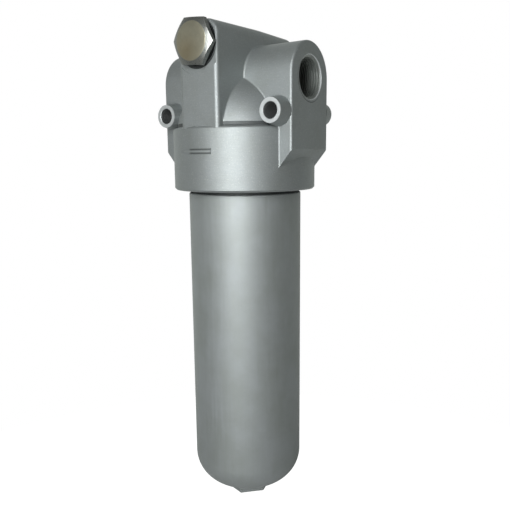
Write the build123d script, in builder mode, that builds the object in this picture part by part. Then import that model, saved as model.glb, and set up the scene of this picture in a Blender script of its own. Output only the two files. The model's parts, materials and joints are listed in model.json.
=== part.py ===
from build123d import *
import os
from math import asin, atan2, cos, degrees, radians, sin, sqrt

# High-pressure line filter: a cast head with two ports in line, a deep steel bowl screwed in from
# below, and inside it a pleated element on a spigot, with a bypass valve above the spigot.
# All sizes are in millimetres. Heights are measured from the lower edge of the head's skirt,
# and reaches from the bowl's upright axis. The origin of the frame lies midway between the two
# mounting holes at the front, on the tips of their bosses, where a bracket meets the filter.

# Bowl, whose radius sets the width of all that surrounds it and lies in it
bowl_radius = 38.5
bowl_wall = 7.0
bowl_gap = 2.2
bowl_straight_end = -193.0
bowl_knuckle_radius = 21.3
bowl_crown_radius = 70.0
bowl_shoulder_round = 1.0
foot_across_flats = 27.0
foot_height = 5.2
foot_turn = -18.0
foot_edge_chamfer = 0.8

# Bowl thread, and the clearance that turning threads keep
bowl_thread_step = 1.15
bowl_thread_length = 19.5
bowl_thread_start = 2.0
bowl_neck_relief = 1.05
thread_clearance = 0.05
thread_lead_in = 1.5
thread_run_out = 2.5

# Seal between the bowl's neck and the head
seal_land_step = 1.35
seal_land_length = 10.0
seal_clearance = 0.05
seal_groove_depth = 2.6
seal_groove_width = 5.6
seal_groove_inset = 2.2
ring_clearance = 0.03
backup_ring_thickness = 1.5
bowl_rim_gap = 0.5

# Skirt and domed roof of the head
skirt_overhang = 9.5
skirt_height = 40.5
skirt_lower_chamfer = 1.2
skirt_upper_round = 1.8
ledge_width = 2.5
dome_drop = 6.5
neck_height = 2.7
neck_round = 1.2

# Port blocks, one each way along X, and their G 3/4 pipe threads
port_stand_out = 4.0
port_height = 70.0
port_block_half_width = 22.0
port_block_foot = 26.0
port_bevel_drop = 12.5
port_bevel_run = 10.5
port_edge_round = 1.6
port_thread_radius = 13.22
port_mouth_radius = 14.0
port_thread_depth = 18.0
countersink_angle = 90.0

# Plug block, which runs from front to rear across the top
plug_block_front_inset = 1.5
plug_block_rear_inset = 7.5
plug_block_front_half = 15.0
plug_block_middle_half = 17.3
plug_block_rear_half = 15.4
plug_block_top_rise = 13.0
plug_block_top_round = 8.5
plug_block_front_round = 2.6
plug_block_rear_round = 4.0
cast_blend = 1.2

# Mounting bosses, two at the front with M10 threads and two at the rear that stay blank
boss_inset = 9.5
boss_height = 49.0
boss_stand_out = 9.5
boss_tip_radius = 7.5
boss_root_radius = 9.2
boss_thread_radius = 5.0
boss_mouth_radius = 5.4
boss_hole_depth = 16.0

# Flow arrow cast on the skirt
arrow_length = 27.0
arrow_width = 3.6
arrow_point = 6.0
arrow_centre_x = -4.0
arrow_height = 25.6
arrow_relief = 0.45

# Chamber round the hub, and the hub that carries the spigot
chamber_shoulder = 2.0
chamber_height = 16.0
chamber_overlap = 0.5
hub_radius = 20.0
hub_rise = 6.0
hub_thread_radius = 13.0
hub_thread_depth = 14.0
clean_bore_radius = 11.0
clean_bore_rise = 7.0
outlet_bore_radius = 8.5

# Inlet elbow from the port down to the chamber
elbow_radius = 8.0
elbow_bend = 9.0

# Bypass valve above the clean bore
valve_bore_radius = 9.0
valve_bore_depth = 9.0
valve_room_radius = 7.0
valve_room_height = 6.6
seat_thickness = 3.0
seat_bore_radius = 4.5
valve_fit = 0.03
gallery_radius = 2.5
gallery_mouth_rise = 2.2
gallery_end_rise = 3.6
cage_collar_height = 3.2
cage_wall = 1.2
cage_bore_radius = 6.6
cage_floor = 2.0
cage_window_width = 6.0
cage_window_count = 4
clip_thickness = 1.2
clip_bite = 0.8
clip_inner_radius = 7.9
clip_gap = 5.0
poppet_head_radius = 5.9
poppet_head_thickness = 2.4
poppet_nose_height = 1.6
poppet_nose_clearance = 0.25
poppet_stem_radius = 1.8
poppet_lift = 4.0
stem_clearance = 0.08
spring_wire_radius = 0.55
spring_seat_radius = 5.2
spring_mean_radius = 4.0
spring_turns = 4.5
spring_margin = 0.55

# Spigot bush and its seal
spigot_radius = 12.0
spigot_bore_radius = 8.5
spigot_length = 24.0
spigot_flange_flats = 34.0
spigot_flange_thickness = 4.0
spigot_thread_length = 12.0
spigot_tip_chamfer = 1.0
face_groove_inner_radius = 13.9
face_groove_width = 1.9
face_groove_depth = 1.7

# Filter element
element_space = 4.5
element_cap_thickness = 4.0
element_collar_gap = 1.5
element_collar_length = 14.5
element_collar_wall = 4.6
element_ring_wire = 1.3
element_ring_drop = 6.5
element_bottom_rise = 3.0
element_rim_height = 4.0
element_rim_wall = 0.8
lug_count = 4
lug_width = 5.0
lug_clearance = 0.4
element_fit = 0.05
pleat_count = 36
pleat_outer_space = 0.25
pleat_inner_space = 0.6
pleat_sheet = 0.6
core_radius = 14.6
core_wall = 1.0
core_hole_radius = 2.6
core_hole_rows = 11
core_hole_columns = 6
sleeve_wall = 0.5
sleeve_slot_width = 5.0
sleeve_slot_length = 24.0
sleeve_slot_rows = 6
sleeve_slot_columns = 8

# Plug that closes the indicator port, and its bonded seal
plug_rise = 20.0
plug_across_flats = 27.0
plug_turn = -5.3
plug_head_height = 4.7
plug_head_chamfer = 30.0
plug_face_share = 0.95
plug_thread_radius = 9.5
plug_shank_length = 13.0
plug_port_depth = 15.0
plug_shank_chamfer = 1.2
spot_face_radius = 19.0
spot_face_depth = 0.5
washer_outer_radius = 14.0
washer_inner_radius = 11.4
washer_thickness = 1.6
lip_inner_radius = 9.8
lip_relief = 0.05
tap_hole_radius = 1.5
clean_tap_drop = 7.6
clean_tap_fall = 4.0

# Widths worked out from the bowl's radius
bowl_inner_radius = bowl_radius - bowl_wall
bowl_thread_radius = bowl_radius - bowl_thread_step
bowl_neck_radius = bowl_thread_radius - bowl_neck_relief
seal_land_radius = bowl_thread_radius - seal_land_step
seal_groove_radius = seal_land_radius - seal_groove_depth
thread_bore_radius = bowl_thread_radius + thread_clearance
seal_bore_radius = seal_land_radius + seal_clearance
chamber_radius = seal_land_radius - chamber_shoulder
elbow_reach = (hub_radius + chamber_radius) / 2
element_radius = bowl_inner_radius - element_space
skirt_radius = bowl_radius + skirt_overhang
dome_radius = skirt_radius - ledge_width
port_face_reach = skirt_radius + port_stand_out
plug_block_front = skirt_radius - plug_block_front_inset
plug_block_rear = skirt_radius - plug_block_rear_inset
boss_spacing = 2 * (port_face_reach - boss_inset)
boss_reach = port_block_half_width + boss_stand_out
plug_seat_reach = plug_block_front - spot_face_depth
plug_port_bottom = plug_block_front - plug_port_depth

# Heights worked out from the skirt, the seal and the ports
dome_centre_height = skirt_height - dome_drop
neck_top = skirt_height + neck_height
neck_radius = sqrt(dome_radius**2 - (neck_top - dome_centre_height) ** 2)
land_start = bowl_thread_start + bowl_thread_length + thread_run_out
land_top = land_start + seal_land_length
groove_top = land_top - bowl_rim_gap - seal_groove_inset
hub_foot = land_top + hub_rise
chamber_roof = land_top + chamber_height
clean_bore_top = port_height + clean_bore_rise
valve_seat_top = clean_bore_top + valve_bore_depth
valve_room_top = valve_seat_top + valve_room_height
clip_height = valve_seat_top - seat_thickness - cage_collar_height - clip_thickness
spring_solid_height = (spring_turns + 1) * 2 * spring_wire_radius
cage_depth = (
    cage_floor + spring_solid_height + spring_margin + poppet_lift + poppet_head_thickness
)
plug_height = port_height + plug_rise
plug_block_top = plug_height + plug_block_top_rise

# The frame's origin, seen from the bowl's axis and the skirt's lower edge
axis_y = boss_reach
foot_z = -boss_height

# How near a measured place must lie to one worked out here to be taken as the same
same_place = 0.1

os.makedirs("parts", exist_ok=True)


def level(height):
    """Horizontal plane on the bowl's axis."""
    return Plane(origin=(0, axis_y, foot_z + height))


def facing_side(reach, height):
    """Plane square to the ports, looking out of the side that the sign of reach gives."""
    side = 1 if reach > 0 else -1
    return Plane(origin=(reach, axis_y, foot_z + height), x_dir=(0, side, 0), z_dir=(side, 0, 0))


def facing_front(reach, height):
    """Plane square to the plug, looking out of the front."""
    return Plane(origin=(0, axis_y - reach, foot_z + height), x_dir=(1, 0, 0), z_dir=(0, -1, 0))


def facing_rear(reach, height):
    """Plane looking out of the rear."""
    return Plane(origin=(0, axis_y + reach, foot_z + height), x_dir=(-1, 0, 0), z_dir=(0, 1, 0))


def inside(x, reach, height):
    """Point in the frame, from its place across, its reach to the front and its height."""
    return Vector(x, axis_y - reach, foot_z + height)


def on_circle(centre, radius, angle):
    """Point of a circle at an angle in degrees from the first axis."""
    return (centre[0] + radius * cos(radians(angle)), centre[1] + radius * sin(radians(angle)))


def save(piece, name):
    """Name a finished piece and write its file."""
    piece.part.label = name
    export_step(piece.part, f"parts/{name}.step")


section = facing_front(0, 0)
bowl_axis = Axis((0, axis_y, foot_z), (0, 0, 1))
plug_axis = Axis((0, axis_y, foot_z + plug_height), (0, -1, 0))


# Port block, before it joins the head: an arch seen from the side, with both lower ends bevelled
with BuildPart() as port_block:
    with BuildSketch(facing_side(port_face_reach, port_height)):
        arch_foot = port_block_foot - port_bevel_drop - port_height
        Circle(port_block_half_width)
        with Locations((0, arch_foot / 2)):
            Rectangle(2 * port_block_half_width, -arch_foot)
    extrude(amount=-2 * port_face_reach)
    with BuildSketch(facing_front(0, port_block_foot)):
        bevelled = port_face_reach - port_bevel_run
        block_rise = port_height + port_block_half_width - port_block_foot
        with BuildLine():
            Polyline(
                (-bevelled, -port_bevel_drop),
                (bevelled, -port_bevel_drop),
                (port_face_reach, 0),
                (port_face_reach, block_rise),
                (-port_face_reach, block_rise),
                (-port_face_reach, 0),
                (-bevelled, -port_bevel_drop),
            )
        make_face()
    extrude(amount=port_block_half_width, both=True, mode=Mode.INTERSECT)
    for end in (port_block.faces().sort_by(Axis.X)[0], port_block.faces().sort_by(Axis.X)[-1]):
        fillet(end.edges(), port_edge_round)


# Plug block, widest over the bowl's axis, where the mould parts
with BuildPart() as plug_block:
    with BuildSketch(level(skirt_height - cast_blend)):
        with BuildLine():
            Polyline(
                (plug_block_front_half, -plug_block_front),
                (plug_block_middle_half, 0),
                (plug_block_rear_half, plug_block_rear),
                (-plug_block_rear_half, plug_block_rear),
                (-plug_block_middle_half, 0),
                (-plug_block_front_half, -plug_block_front),
                (plug_block_front_half, -plug_block_front),
            )
        make_face()
    extrude(amount=plug_block_top - skirt_height + cast_blend)
    roof_edges = plug_block.faces().sort_by(Axis.Z)[-1].edges()
    fillet(roof_edges.filter_by(Axis.X, reverse=True), plug_block_top_round)
    fillet(plug_block.faces().sort_by(Axis.Y)[-1].edges().group_by(Axis.Z)[1:], plug_block_rear_round)
    fillet(plug_block.faces().sort_by(Axis.Y)[0].edges().group_by(Axis.Z)[1:], plug_block_front_round)


# Flow arrow, a low cast bar that comes to a point and follows the skirt
with BuildPart() as flow_arrow:
    with BuildSketch(facing_front(boss_reach, arrow_height)):
        arrow_tip = arrow_centre_x - arrow_length / 2
        arrow_tail = arrow_centre_x + arrow_length / 2
        with BuildLine():
            Polyline(
                (arrow_tip, 0),
                (arrow_tip + arrow_point, -arrow_width / 2),
                (arrow_tail, -arrow_width / 2),
                (arrow_tail, arrow_width / 2),
                (arrow_tip + arrow_point, arrow_width / 2),
                (arrow_tip, 0),
            )
        make_face()
    extrude(amount=skirt_radius)
    with BuildSketch(level(0)):
        Circle(skirt_radius + arrow_relief)
    extrude(amount=skirt_height, mode=Mode.INTERSECT)


def is_cast_seam(edge):
    """Whether an edge is an inner corner between a block and the dome, the skirt or a block."""
    middle = edge.center()
    reach_x = abs(middle.X)
    reach_y = abs(middle.Y - axis_y)
    if edge.geom_type == GeomType.LINE:
        upright = abs(abs(edge.tangent_at(0).Z) - 1) < same_place
        on_port_side = abs(reach_y - port_block_half_width) < same_place
        return upright and on_port_side and reach_x < skirt_radius
    curved = edge.geom_type in (GeomType.CIRCLE, GeomType.ELLIPSE)
    above_neck = middle.Z - foot_z > neck_top + skirt_upper_round
    long_enough = edge.length > plug_block_front_half
    return curved and above_neck and long_enough and reach_x < port_face_reach - 2 * port_edge_round


with BuildPart() as filter_head:
    # Skirt, ledge, neck and domed roof, turned about the bowl's axis
    with BuildSketch(section):
        neck_angle = degrees(asin((neck_top - dome_centre_height) / dome_radius))
        dome_middle = on_circle((0, dome_centre_height), dome_radius, (90 + neck_angle) / 2)
        with BuildLine():
            dome = ThreePointArc(
                (neck_radius, neck_top), dome_middle, (0, dome_centre_height + dome_radius)
            )
            Polyline(
                dome @ 1,
                (0, 0),
                (skirt_radius, 0),
                (skirt_radius, skirt_height),
                (neck_radius, skirt_height),
                dome @ 0,
            )
        make_face()
    revolve(axis=bowl_axis)
    chamfer(filter_head.edges().filter_by(GeomType.CIRCLE).sort_by(Axis.Z)[0], skirt_lower_chamfer)
    ledge_edges = filter_head.faces().filter_by(Axis.Z).sort_by(Axis.Z)[-1].edges()
    fillet(ledge_edges.sort_by(SortBy.RADIUS)[-1], skirt_upper_round)
    ledge_edges = filter_head.faces().filter_by(Axis.Z).sort_by(Axis.Z)[-1].edges()
    fillet(ledge_edges.sort_by(SortBy.RADIUS)[0], neck_round)

    # The two blocks that cross above the dome, blended into it as cast
    add(port_block.part)
    add(plug_block.part)
    fillet(filter_head.edges().filter_by(is_cast_seam), cast_blend)

    # Mounting bosses, tapered as cast, and the flow arrow
    boss_draft = degrees(
        atan2(boss_root_radius - boss_tip_radius, boss_reach - port_block_half_width)
    )
    for look in (facing_front, facing_rear):
        with BuildSketch(look(port_block_half_width, boss_height)):
            with GridLocations(boss_spacing, 1, 2, 1):
                Circle(boss_root_radius)
        extrude(amount=boss_reach - port_block_half_width, taper=boss_draft)
    add(flow_arrow.part)

    # Everything bored from below on the bowl's axis: thread, seal land, chamber round the hub,
    # spigot thread, clean bore, valve bore and the room above the valve
    with BuildSketch(section):
        with BuildLine():
            Polyline(
                (0, 0),
                (thread_bore_radius + thread_lead_in, 0),
                (thread_bore_radius, thread_lead_in),
                (thread_bore_radius, land_start - thread_run_out),
                (seal_bore_radius, land_start),
                (seal_bore_radius, land_top),
                (chamber_radius, land_top),
                (chamber_radius, chamber_roof),
                (hub_radius, chamber_roof),
                (hub_radius, hub_foot),
                (hub_thread_radius + valve_fit, hub_foot),
                (hub_thread_radius + valve_fit, hub_foot + hub_thread_depth),
                (clean_bore_radius, hub_foot + hub_thread_depth),
                (clean_bore_radius, clean_bore_top),
                (valve_bore_radius, clean_bore_top),
                (valve_bore_radius, valve_seat_top),
                (valve_room_radius, valve_seat_top),
                (valve_room_radius, valve_room_top),
                (0, valve_room_top),
                (0, 0),
            )
        make_face()
    revolve(axis=bowl_axis, mode=Mode.SUBTRACT)
    with BuildSketch(level(clip_height - valve_fit)):
        Circle(valve_bore_radius + clip_bite)
    extrude(amount=clip_thickness + 2 * valve_fit, mode=Mode.SUBTRACT)

    # Threaded ports, the outlet passage and the inlet elbow
    for reach in (port_face_reach, -port_face_reach):
        with Locations(facing_side(reach, port_height)):
            CounterSinkHole(
                port_thread_radius, port_mouth_radius, port_thread_depth, countersink_angle
            )
    with BuildSketch(facing_side(-port_face_reach, port_height)):
        Circle(outlet_bore_radius)
    extrude(amount=-port_face_reach, mode=Mode.SUBTRACT)
    with BuildLine(section) as elbow_path:
        elbow_start = Line(
            (port_face_reach - port_thread_depth + elbow_bend, port_height),
            (elbow_reach + elbow_bend, port_height),
        )
        elbow_curve = TangentArc(
            elbow_start @ 1, (elbow_reach, port_height - elbow_bend), tangent=elbow_start % 1
        )
        Line(elbow_curve @ 1, (elbow_reach, chamber_roof - chamber_overlap))
    with BuildSketch(Plane(elbow_path.line @ 0, z_dir=elbow_path.line % 0)):
        Circle(elbow_radius)
    sweep(mode=Mode.SUBTRACT)

    # Plug port with its spot face, and the level tapping to the room above the valve
    with Locations(facing_front(plug_block_front, plug_height)):
        CounterBoreHole(
            plug_thread_radius + thread_clearance,
            spot_face_radius,
            spot_face_depth,
            plug_port_depth,
        )
    with BuildSketch(facing_front(0, (valve_seat_top + valve_room_top) / 2)):
        Circle(tap_hole_radius)
    extrude(amount=plug_port_bottom + tap_hole_radius, mode=Mode.SUBTRACT)

    # Two slanted drillings: the gallery from the inlet port to the room above the valve, and the
    # tapping from the plug port to the clean bore
    gallery_mouth = inside(port_face_reach, 0, port_height + gallery_mouth_rise)
    gallery_end = inside(valve_room_radius, 0, valve_seat_top + gallery_end_rise)
    clean_tap_mouth = inside(0, plug_port_bottom, plug_height - clean_tap_drop)
    clean_tap_end = inside(0, clean_bore_radius, clean_bore_top - clean_tap_fall)
    for mouth, end, radius in (
        (gallery_mouth, gallery_end, gallery_radius),
        (clean_tap_mouth, clean_tap_end, tap_hole_radius),
    ):
        with BuildSketch(Plane(origin=mouth, z_dir=end - mouth).offset(-radius)):
            Circle(radius)
        extrude(amount=(end - mouth).length + 2 * radius, mode=Mode.SUBTRACT)

    # Blind mounting holes
    with Locations(facing_front(boss_reach, boss_height)):
        with GridLocations(boss_spacing, 1, 2, 1):
            CounterSinkHole(
                boss_thread_radius, boss_mouth_radius, boss_hole_depth, countersink_angle
            )
save(filter_head, "filter_head")


# Bowl, a deep cup with a rounded bottom and a hexagon foot for the wrench
crown_centre = bowl_straight_end + sqrt(
    (bowl_crown_radius - bowl_knuckle_radius) ** 2 - (bowl_radius - bowl_knuckle_radius) ** 2
)
knuckle_centre = (bowl_radius - bowl_knuckle_radius, bowl_straight_end)
knuckle_end_angle = degrees(
    atan2(bowl_straight_end - crown_centre, bowl_radius - bowl_knuckle_radius)
)
foot_bottom = crown_centre - bowl_crown_radius - foot_height
rim_height = land_top - bowl_rim_gap


def bottom_arcs(inset):
    """Knuckle and crown of the bowl's bottom, a wall's thickness further in."""
    knuckle = bowl_knuckle_radius - inset
    crown = bowl_crown_radius - inset
    knuckle_points = [
        on_circle(knuckle_centre, knuckle, angle)
        for angle in (0, knuckle_end_angle / 2, knuckle_end_angle)
    ]
    crown_points = [
        on_circle((0, crown_centre), crown, angle)
        for angle in (knuckle_end_angle, (knuckle_end_angle - 90) / 2, -90)
    ]
    ThreePointArc(*knuckle_points)
    ThreePointArc(*crown_points)


with BuildPart() as filter_bowl:
    with BuildSketch(section):
        with BuildLine():
            bottom_arcs(0)
            bottom_arcs(bowl_wall)
            Line((0, crown_centre - bowl_crown_radius), (0, crown_centre - bowl_crown_radius + bowl_wall))
            Polyline(
                (bowl_inner_radius, bowl_straight_end),
                (bowl_inner_radius, rim_height - thread_lead_in),
                (bowl_inner_radius + thread_lead_in, rim_height),
                (seal_land_radius - bowl_rim_gap, rim_height),
                (seal_land_radius, rim_height - bowl_rim_gap),
                (seal_land_radius, groove_top),
                (seal_groove_radius, groove_top),
                (seal_groove_radius, groove_top - seal_groove_width),
                (seal_land_radius, groove_top - seal_groove_width),
                (seal_land_radius, land_start - thread_run_out),
                (bowl_thread_radius, land_start - thread_run_out - thread_lead_in),
                (bowl_thread_radius, bowl_thread_start),
                (bowl_neck_radius, bowl_thread_start),
                (bowl_neck_radius, -bowl_gap),
                (bowl_radius, -bowl_gap),
                (bowl_radius, bowl_straight_end),
            )
        make_face()
    revolve(axis=bowl_axis)
    shoulder = filter_bowl.edges().filter_by(GeomType.CIRCLE)
    fillet(
        shoulder.filter_by(lambda edge: abs(edge.radius - bowl_radius) < same_place).sort_by(
            Axis.Z
        )[-1],
        bowl_shoulder_round,
    )
    with BuildSketch(level(foot_bottom)):
        RegularPolygon(foot_across_flats / 2, 6, major_radius=False, rotation=foot_turn)
    extrude(amount=foot_height + bowl_wall / 2)
    foot_corners = filter_bowl.faces().sort_by(Axis.Z)[0].edges()
    chamfer(foot_corners, foot_edge_chamfer)
save(filter_bowl, "filter_bowl")


def turned_ring(name, outline):
    """Ring of revolution about the bowl's axis, from (reach, height) points of its section."""
    with BuildPart() as ring:
        with BuildSketch(section):
            with BuildLine():
                Polyline(*outline, outline[0])
            make_face()
        revolve(axis=bowl_axis)
    save(ring, name)
    return ring


def round_ring(name, reach, height, wire):
    """Ring of round section about the bowl's axis."""
    with BuildPart() as ring:
        with BuildSketch(section):
            with Locations((reach, height)):
                Circle(wire)
        revolve(axis=bowl_axis)
    save(ring, name)
    return ring


# Seal of the bowl: a backup ring under a round ring, in the groove of the bowl's neck
groove_foot = groove_top - seal_groove_width
backup_top = groove_foot + ring_clearance + backup_ring_thickness
bowl_ring_wire = (seal_bore_radius - seal_groove_radius) / 2 - ring_clearance
bowl_backup_ring = turned_ring(
    "bowl_backup_ring",
    [
        (seal_groove_radius + ring_clearance, groove_foot + ring_clearance),
        (seal_bore_radius - ring_clearance, groove_foot + ring_clearance),
        (seal_bore_radius - ring_clearance, backup_top),
        (seal_groove_radius + ring_clearance, backup_top),
    ],
)
bowl_o_ring = round_ring(
    "bowl_o_ring",
    (seal_bore_radius + seal_groove_radius) / 2,
    backup_top + ring_clearance + bowl_ring_wire,
    bowl_ring_wire,
)


# Spigot bush, screwed into the hub with a hexagon flange and its own seal
flange_foot = hub_foot - spigot_flange_thickness
spigot_foot = flange_foot - spigot_length
with BuildPart() as spigot_bush:
    with BuildSketch(level(flange_foot)):
        RegularPolygon(spigot_flange_flats / 2, 6, major_radius=False)
    extrude(amount=spigot_flange_thickness)
    with BuildSketch(section):
        with BuildLine():
            Polyline(
                (spigot_bore_radius, spigot_foot),
                (spigot_radius - spigot_tip_chamfer, spigot_foot),
                (spigot_radius, spigot_foot + spigot_tip_chamfer),
                (spigot_radius, flange_foot),
                (hub_thread_radius, flange_foot),
                (hub_thread_radius, hub_foot + spigot_thread_length),
                (spigot_bore_radius, hub_foot + spigot_thread_length),
                (spigot_bore_radius, spigot_foot),
            )
        make_face()
    revolve(axis=bowl_axis)
    with BuildSketch(level(spigot_foot)):
        Circle(spigot_bore_radius)
    extrude(amount=hub_foot + spigot_thread_length - spigot_foot, mode=Mode.SUBTRACT)
    with BuildSketch(level(hub_foot)):
        Circle(face_groove_inner_radius + face_groove_width)
        Circle(face_groove_inner_radius, mode=Mode.SUBTRACT)
    extrude(amount=-face_groove_depth, mode=Mode.SUBTRACT)
save(spigot_bush, "spigot_bush")

spigot_ring_wire = face_groove_depth / 2 - ring_clearance
spigot_o_ring = round_ring(
    "spigot_o_ring",
    face_groove_inner_radius + face_groove_width / 2,
    hub_foot - face_groove_depth / 2,
    spigot_ring_wire,
)


# Bypass valve: seat ring, poppet, spring and slotted cage, held up by a spring clip
seat_foot = valve_seat_top - seat_thickness
cage_foot = seat_foot - cage_depth
bypass_seat = turned_ring(
    "bypass_seat",
    [
        (seat_bore_radius, seat_foot),
        (valve_bore_radius - valve_fit, seat_foot),
        (valve_bore_radius - valve_fit, valve_seat_top),
        (seat_bore_radius, valve_seat_top),
    ],
)

with BuildPart() as bypass_cage:
    basket_radius = cage_bore_radius + cage_wall
    with BuildSketch(section):
        with BuildLine():
            Polyline(
                (poppet_stem_radius + stem_clearance, cage_foot),
                (basket_radius, cage_foot),
                (basket_radius, seat_foot - cage_collar_height),
                (valve_bore_radius - valve_fit, seat_foot - cage_collar_height),
                (valve_bore_radius - valve_fit, seat_foot),
                (cage_bore_radius, seat_foot),
                (cage_bore_radius, cage_foot + cage_floor),
                (poppet_stem_radius + stem_clearance, cage_foot + cage_floor),
                (poppet_stem_radius + stem_clearance, cage_foot),
            )
        make_face()
    revolve(axis=bowl_axis)
    window_foot = cage_foot + cage_floor
    window_height = cage_depth - cage_floor - cage_collar_height - cage_wall
    with BuildSketch(level(window_foot)):
        with PolarLocations(cage_bore_radius, cage_window_count, 180 / cage_window_count):
            Rectangle(basket_radius, cage_window_width)
        Circle(spring_seat_radius, mode=Mode.SUBTRACT)
    extrude(amount=window_height, mode=Mode.SUBTRACT)
save(bypass_cage, "bypass_cage")

with BuildPart() as bypass_poppet:
    head_foot = seat_foot - poppet_head_thickness
    nose_radius = seat_bore_radius - poppet_nose_clearance
    with BuildSketch(section):
        with BuildLine():
            Polyline(
                (0, cage_foot + stem_clearance),
                (poppet_stem_radius, cage_foot + stem_clearance),
                (poppet_stem_radius, head_foot),
                (poppet_head_radius, head_foot),
                (poppet_head_radius, seat_foot),
                (nose_radius, seat_foot),
                (nose_radius - poppet_nose_height / 2, seat_foot + poppet_nose_height),
                (0, seat_foot + poppet_nose_height),
                (0, cage_foot + stem_clearance),
            )
        make_face()
    revolve(axis=bowl_axis)
save(bypass_poppet, "bypass_poppet")

with BuildPart() as bypass_spring:
    coil_foot = cage_foot + cage_floor + spring_wire_radius + ring_clearance
    coil_height = head_foot - spring_wire_radius - ring_clearance - coil_foot
    with BuildLine(level(coil_foot)) as coil:
        Helix(coil_height / spring_turns, coil_height, spring_mean_radius)
    with BuildSketch(Plane(coil.line @ 0, z_dir=coil.line % 0)):
        Circle(spring_wire_radius)
    sweep()
save(bypass_spring, "bypass_spring")

with BuildPart() as bypass_clip:
    with BuildSketch(level(clip_height)):
        Circle(valve_bore_radius + clip_bite - valve_fit)
        Circle(clip_inner_radius, mode=Mode.SUBTRACT)
        with Locations((0, -valve_bore_radius)):
            Rectangle(clip_gap, 2 * clip_bite + valve_bore_radius, mode=Mode.SUBTRACT)
    extrude(amount=clip_thickness)
save(bypass_clip, "bypass_clip")


# Filter element: two end caps, a pleated sheet, a perforated core and a slotted sleeve
element_collar_top = flange_foot - element_collar_gap
element_ring_height = element_collar_top - element_ring_drop
element_cap_top = element_collar_top - element_collar_length
element_bottom = bowl_straight_end + element_bottom_rise
cap_foot = element_cap_top - element_cap_thickness
pleat_foot = element_bottom + element_cap_thickness
ring_seat_radius = spigot_radius + 2 * element_ring_wire
sleeve_radius = element_radius - element_rim_wall - element_fit
pleat_outer_radius = sleeve_radius - sleeve_wall - pleat_outer_space
pleat_inner_radius = core_radius + pleat_inner_space
element_top_cap = turned_ring(
    "element_top_cap",
    [
        (spigot_radius + element_fit, cap_foot),
        (element_radius - element_rim_wall, cap_foot),
        (element_radius - element_rim_wall, cap_foot - element_rim_height),
        (element_radius, cap_foot - element_rim_height),
        (element_radius, element_cap_top),
        (spigot_radius + element_collar_wall, element_cap_top),
        (spigot_radius + element_collar_wall, element_collar_top),
        (spigot_radius + element_fit, element_collar_top),
        (spigot_radius + element_fit, element_ring_height + element_ring_wire + element_fit),
        (ring_seat_radius, element_ring_height + element_ring_wire + element_fit),
        (ring_seat_radius, element_ring_height - element_ring_wire - element_fit),
        (spigot_radius + element_fit, element_ring_height - element_ring_wire - element_fit),
    ],
)
element_o_ring = round_ring(
    "element_o_ring",
    (spigot_radius + ring_seat_radius) / 2,
    element_ring_height,
    element_ring_wire - ring_clearance,
)

with BuildPart() as element_bottom_cap:
    with BuildSketch(level(element_bottom)):
        Circle(element_radius)
    extrude(amount=element_cap_thickness)
    with BuildSketch(level(pleat_foot)):
        Circle(element_radius)
        Circle(element_radius - element_rim_wall, mode=Mode.SUBTRACT)
    extrude(amount=element_rim_height)
    # Lugs that centre the element in the bowl
    with BuildSketch(level(element_bottom)):
        lug_reach = bowl_inner_radius - lug_clearance - element_radius + element_rim_wall
        lug_middle = element_radius - element_rim_wall + lug_reach / 2
        with PolarLocations(lug_middle, lug_count):
            Rectangle(lug_reach, lug_width)
    extrude(amount=element_cap_thickness)
save(element_bottom_cap, "element_bottom_cap")


def pleat_star(tip_radius, root_radius):
    """Star outline that zigzags between two radii, once for each pleat."""
    pleat_angle = 360 / pleat_count
    outline = []
    for fold in range(pleat_count):
        outline.append(on_circle((0, 0), tip_radius, fold * pleat_angle))
        outline.append(on_circle((0, 0), root_radius, (fold + 0.5) * pleat_angle))
    return outline


# The sheet's thickness, measured along the radius, is larger where the fold is sharp
with BuildPart() as element_pleats:
    half_pleat = radians(180 / pleat_count)
    tip_half_angle = atan2(
        pleat_inner_radius * sin(half_pleat),
        pleat_outer_radius - pleat_inner_radius * cos(half_pleat),
    )
    tip_depth = pleat_sheet / sin(tip_half_angle)
    root_depth = pleat_sheet / sin(tip_half_angle + half_pleat)
    with BuildSketch(level(pleat_foot)):
        Polygon(*pleat_star(pleat_outer_radius, pleat_inner_radius + root_depth), align=None)
        Polygon(
            *pleat_star(pleat_outer_radius - tip_depth, pleat_inner_radius),
            align=None,
            mode=Mode.SUBTRACT,
        )
    extrude(amount=cap_foot - pleat_foot)
save(element_pleats, "element_pleats")


def pierced_tube(name, outer_radius, wall, columns, rows, make_hole):
    """Tube between the end caps, pierced by rows of holes that make_hole draws."""
    length = cap_foot - pleat_foot
    with BuildPart() as tube:
        with BuildSketch(level(pleat_foot)):
            Circle(outer_radius)
            Circle(outer_radius - wall, mode=Mode.SUBTRACT)
        extrude(amount=length)
        for column in range(columns // 2):
            turn = column * 360 / columns
            look = Plane(
                origin=(0, axis_y, foot_z + pleat_foot + length / 2),
                x_dir=(cos(radians(turn)), sin(radians(turn)), 0),
                z_dir=(sin(radians(turn)), -cos(radians(turn)), 0),
            )
            with BuildSketch(look):
                with GridLocations(1, length / (rows + 0.5), 1, rows):
                    make_hole()
            extrude(amount=outer_radius + wall, both=True, mode=Mode.SUBTRACT)
    save(tube, name)
    return tube


element_core = pierced_tube(
    "element_core",
    core_radius,
    core_wall,
    core_hole_columns,
    core_hole_rows,
    lambda: Circle(core_hole_radius),
)
element_sleeve = pierced_tube(
    "element_sleeve",
    sleeve_radius,
    sleeve_wall,
    sleeve_slot_columns,
    sleeve_slot_rows,
    lambda: SlotOverall(sleeve_slot_length, sleeve_slot_width, rotation=90),
)


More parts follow.
